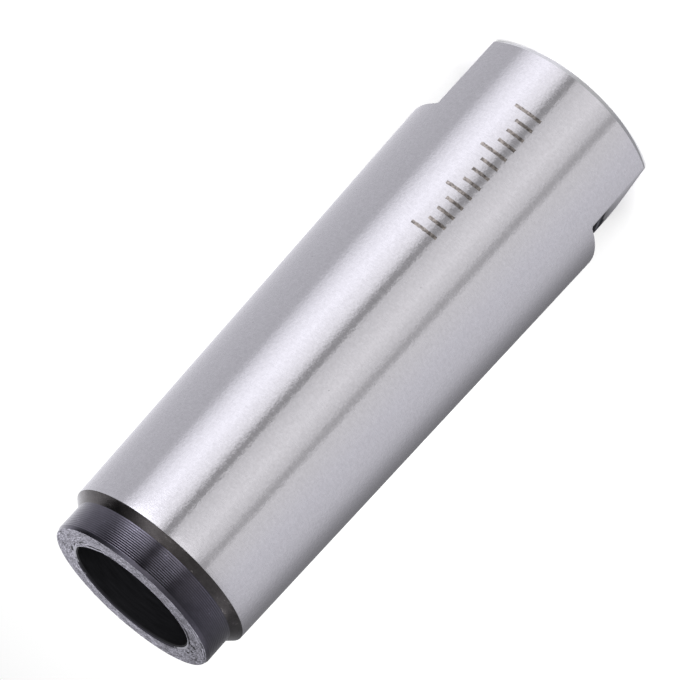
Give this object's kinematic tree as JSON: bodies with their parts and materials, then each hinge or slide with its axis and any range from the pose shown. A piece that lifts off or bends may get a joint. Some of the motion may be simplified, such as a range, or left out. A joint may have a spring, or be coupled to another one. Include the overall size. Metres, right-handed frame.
{
  "type": "morse taper sleeve",
  "caption": "Hardened steel reducing sleeve: ground Morse taper outside, smaller Morse taper socket inside, wrench flats at the large end and a blackened collar at the small end.",
  "frame": {"origin": "centre of the large-end face, on which the sleeve stands", "axes": "+Z along the taper axis towards the small end with the blackened collar, +X along the outward normal of the longer wrench flat"},
  "size_m": [0.031, 0.0316, 0.088],
  "materials": {
    "ground_steel": "ground satin on the taper, black oxide on the small-end collar, its cone and the flats"
  },
  "bodies": {
    "root": {"sleeve": "ground_steel"}
  },
  "joints": []
}
